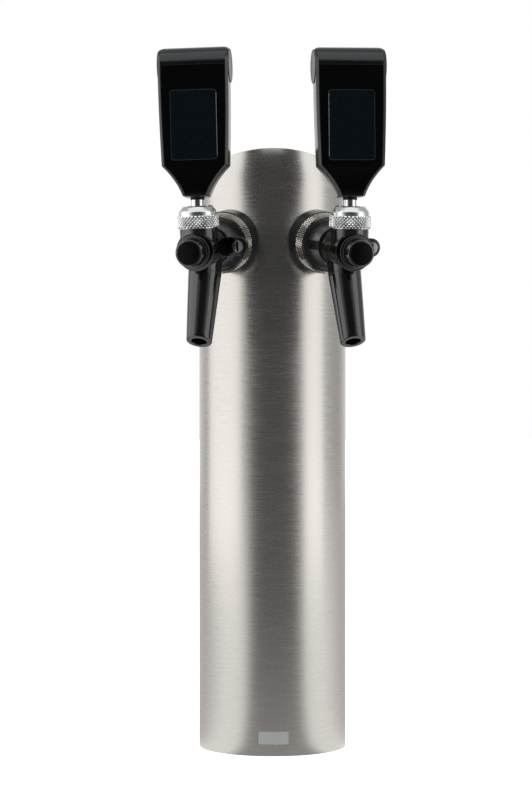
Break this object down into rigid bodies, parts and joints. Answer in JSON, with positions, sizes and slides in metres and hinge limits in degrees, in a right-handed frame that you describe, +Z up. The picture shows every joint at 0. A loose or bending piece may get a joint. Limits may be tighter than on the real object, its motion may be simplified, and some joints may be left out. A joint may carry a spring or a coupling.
{
  "type": "beer tower dispenser",
  "caption": "Brushed steel column with a slanted top and two black flow-control taps with broad black handles, for pouring beer at a bar.",
  "frame": {"origin": "centre of the column's foot, on the counter", "axes": "+Z up the column, -Y to the front where the taps point, +X to the viewer's right"},
  "size_m": [0.1496, 0.1682, 0.4703],
  "materials": {
    "column_steel": "brushed round the column",
    "base_steel": "turned",
    "gasket_rubber": "matte",
    "liner_foam": "foamed, matte",
    "plate_metal": "satin, blank",
    "collar_plastic": "smooth",
    "seat_plastic": "moulded",
    "shank_steel": "turned",
    "lock_nut_brass": "machined",
    "elbow_plastic": "moulded",
    "pipe_steel": "drawn",
    "seal_rubber": "matte",
    "nut_chrome": "knurled, nickel plated",
    "bell_plastic": "smooth",
    "body_plastic": "polished",
    "spout_plastic": "polished",
    "cap_plastic": "smooth",
    "bonnet_chrome": "knurled, chrome plated",
    "dome_chrome": "chrome plated",
    "seat_white": "machined",
    "lever_chrome": "chrome plated",
    "jam_plastic": "matte",
    "insert_brass": "machined",
    "handle_plastic": "polished",
    "panel_plastic": "polished",
    "window_lens": "smooth, dark print under a clear face",
    "disc_plastic": "smooth",
    "plunger_plastic": "moulded",
    "ring_plastic": "smooth",
    "screw_chrome": "plated",
    "cone_plastic": "moulded"
  },
  "bodies": {
    "tower": {"tower_tube": "column_steel", "top_plate": "column_steel", "base_ring": "base_steel", "base_gasket": "gasket_rubber", "insulation_liner": "liner_foam", "label_plate": "plate_metal", "left_collar": "collar_plastic", "left_inner_seat": "seat_plastic", "left_shank": "shank_steel", "left_lock_nut": "lock_nut_brass", "left_elbow": "elbow_plastic", "left_beer_pipe": "pipe_steel", "left_shank_seal": "seal_rubber", "left_coupling_nut": "nut_chrome", "left_bell": "bell_plastic", "left_tap_body": "body_plastic", "left_spout": "spout_plastic", "left_front_cap": "cap_plastic", "left_bonnet_nut": "bonnet_chrome", "left_bonnet_dome": "dome_chrome", "left_ball_seat": "seat_white", "right_collar": "collar_plastic", "right_inner_seat": "seat_plastic", "right_shank": "shank_steel", "right_lock_nut": "lock_nut_brass", "right_elbow": "elbow_plastic", "right_beer_pipe": "pipe_steel", "right_shank_seal": "seal_rubber", "right_coupling_nut": "nut_chrome", "right_bell": "bell_plastic", "right_tap_body": "body_plastic", "right_spout": "spout_plastic", "right_front_cap": "cap_plastic", "right_bonnet_nut": "bonnet_chrome", "right_bonnet_dome": "dome_chrome", "right_ball_seat": "seat_white"},
    "left_handle": {"left_lever": "lever_chrome", "left_jam_ring": "jam_plastic", "left_handle_insert": "insert_brass", "left_handle_shell": "handle_plastic", "left_handle_panel": "panel_plastic", "left_handle_window": "window_lens", "left_handle_discs": "disc_plastic"},
    "left_valve_rod": {"left_plunger": "plunger_plastic", "left_plunger_seal": "seal_rubber"},
    "left_flow_lever": {"left_flow_ring": "ring_plastic", "left_flow_screw": "screw_chrome"},
    "left_flow_core": {"left_flow_cone": "cone_plastic"},
    "right_handle": {"right_lever": "lever_chrome", "right_jam_ring": "jam_plastic", "right_handle_insert": "insert_brass", "right_handle_shell": "handle_plastic", "right_handle_panel": "panel_plastic", "right_handle_window": "window_lens", "right_handle_discs": "disc_plastic"},
    "right_valve_rod": {"right_plunger": "plunger_plastic", "right_plunger_seal": "seal_rubber"},
    "right_flow_lever": {"right_flow_ring": "ring_plastic", "right_flow_screw": "screw_chrome"},
    "right_flow_core": {"right_flow_cone": "cone_plastic"}
  },
  "joints": [
    {"name": "left_handle_pull", "type": "hinge", "parent": "tower", "child": "left_handle", "pos_m": [-0.05004, -0.09695, 0.35935], "axis": [0.9385, -0.3448, 0.0172], "range_deg": [0, 20]},
    {"name": "left_valve_open", "type": "slide", "parent": "tower", "child": "left_valve_rod", "axis": [0.3368, 0.9254, 0.1736], "range_m": [0, 0.0056]},
    {"name": "left_flow_turn", "type": "hinge", "parent": "tower", "child": "left_flow_lever", "pos_m": [-0.03364, -0.05298, 0.34583], "axis": [-0.3368, -0.9254, -0.1736], "range_deg": [0, 35]},
    {"name": "left_flow_core_slide", "type": "slide", "parent": "tower", "child": "left_flow_core", "axis": [0.3368, 0.9254, 0.1736], "range_m": [0, 0.002]},
    {"name": "right_handle_pull", "type": "hinge", "parent": "tower", "child": "right_handle", "pos_m": [0.04934, -0.09721, 0.35935], "axis": [0.9406, 0.3391, 0.0172], "range_deg": [0, 20]},
    {"name": "right_valve_open", "type": "slide", "parent": "tower", "child": "right_valve_rod", "axis": [-0.3368, 0.9254, 0.1736], "range_m": [0, 0.0056]},
    {"name": "right_flow_turn", "type": "hinge", "parent": "tower", "child": "right_flow_lever", "pos_m": [0.03364, -0.05298, 0.34583], "axis": [0.3368, -0.9254, -0.1736], "range_deg": [0, 35]},
    {"name": "right_flow_core_slide", "type": "slide", "parent": "tower", "child": "right_flow_core", "axis": [-0.3368, 0.9254, 0.1736], "range_m": [0, 0.002]}
  ],
  "couplings": [
    {"joint": "left_valve_open", "follows": "left_handle_pull", "m_per_rad": 0.016},
    {"joint": "left_flow_core_slide", "follows": "left_flow_turn", "m_per_rad": 0.003274},
    {"joint": "right_valve_open", "follows": "right_handle_pull", "m_per_rad": 0.016},
    {"joint": "right_flow_core_slide", "follows": "right_flow_turn", "m_per_rad": 0.003274}
  ]
}
